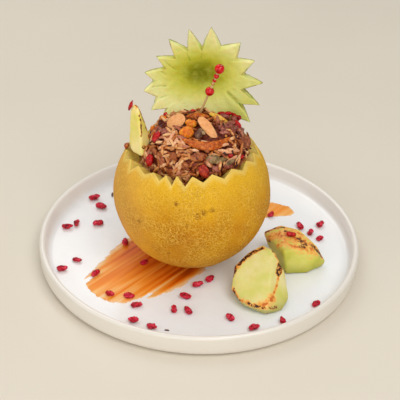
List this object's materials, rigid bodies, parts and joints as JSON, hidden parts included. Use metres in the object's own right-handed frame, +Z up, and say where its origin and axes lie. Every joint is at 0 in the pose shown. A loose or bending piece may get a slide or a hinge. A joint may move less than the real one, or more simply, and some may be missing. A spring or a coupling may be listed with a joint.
{
  "type": "stuffed melon",
  "caption": "Round plate with a hollowed melon, zigzag rim, heaped rice filling, petal-cut lid standing in it, grilled melon wedges, a bead pick and scattered berries.",
  "frame": {"origin": "middle of the plate's foot, on the surface it stands on", "axes": "+Z up, -Y towards the front, which the lid's hollow faces, +X to the right"},
  "size_m": [0.28, 0.28, 0.1981],
  "materials": {
    "porcelain": "glossy white glaze",
    "melon_rind": "ochre netted rind",
    "melon_flesh": "pale green wet flesh",
    "grilled_flesh": "pale green flesh browned at the edges",
    "rice_filling": "brown cooked rice",
    "almond": "toasted almond",
    "dried_fruit": "translucent orange dried fruit",
    "dark_fruit": "dark raisin",
    "barberry": "wrinkled crimson berry",
    "walnut": "brown nut",
    "bamboo": "plain bamboo",
    "red_bead": "glossy red"
  },
  "bodies": {
    "root": {"almond_long": "almond", "almond_round": "almond", "apricot_brown": "dried_fruit", "apricot_left": "dried_fruit", "apricot_long": "dried_fruit", "barberry_01": "barberry", "barberry_02": "barberry", "barberry_03": "barberry", "barberry_04": "barberry", "barberry_05": "barberry", "barberry_06": "barberry", "barberry_07": "barberry", "barberry_08": "barberry", "barberry_09": "barberry", "barberry_10": "barberry", "barberry_11": "barberry", "barberry_12": "barberry", "barberry_13": "barberry", "barberry_14": "barberry", "barberry_15": "barberry", "barberry_16": "barberry", "barberry_17": "barberry", "barberry_18": "barberry", "barberry_19": "barberry", "barberry_20": "barberry", "barberry_21": "barberry", "barberry_22": "barberry", "barberry_23": "barberry", "barberry_24": "barberry", "barberry_25": "barberry", "barberry_26": "barberry", "barberry_27": "barberry", "barberry_28": "barberry", "barberry_29": "barberry", "barberry_left": "barberry", "barberry_right": "barberry", "barberry_rim": "barberry", "barberry_tip": "barberry", "barberry_wedge": "barberry", "bead_low": "red_bead", "bead_small_a": "red_bead", "bead_small_b": "red_bead", "bead_small_c": "red_bead", "bead_top": "red_bead", "filling": "rice_filling", "fruit_yellow": "dried_fruit", "lid": "melon_flesh", "melon_shell": "melon_rind", "pick_stick": "bamboo", "plate": "porcelain", "raisin_back": "dried_fruit", "raisin_dark": "dark_fruit", "raisin_front": "dried_fruit", "tomato_front": "barberry", "walnut_right": "walnut", "wedge_back": "grilled_flesh", "wedge_front": "grilled_flesh", "wedge_standing": "melon_flesh"}
  },
  "joints": []
}
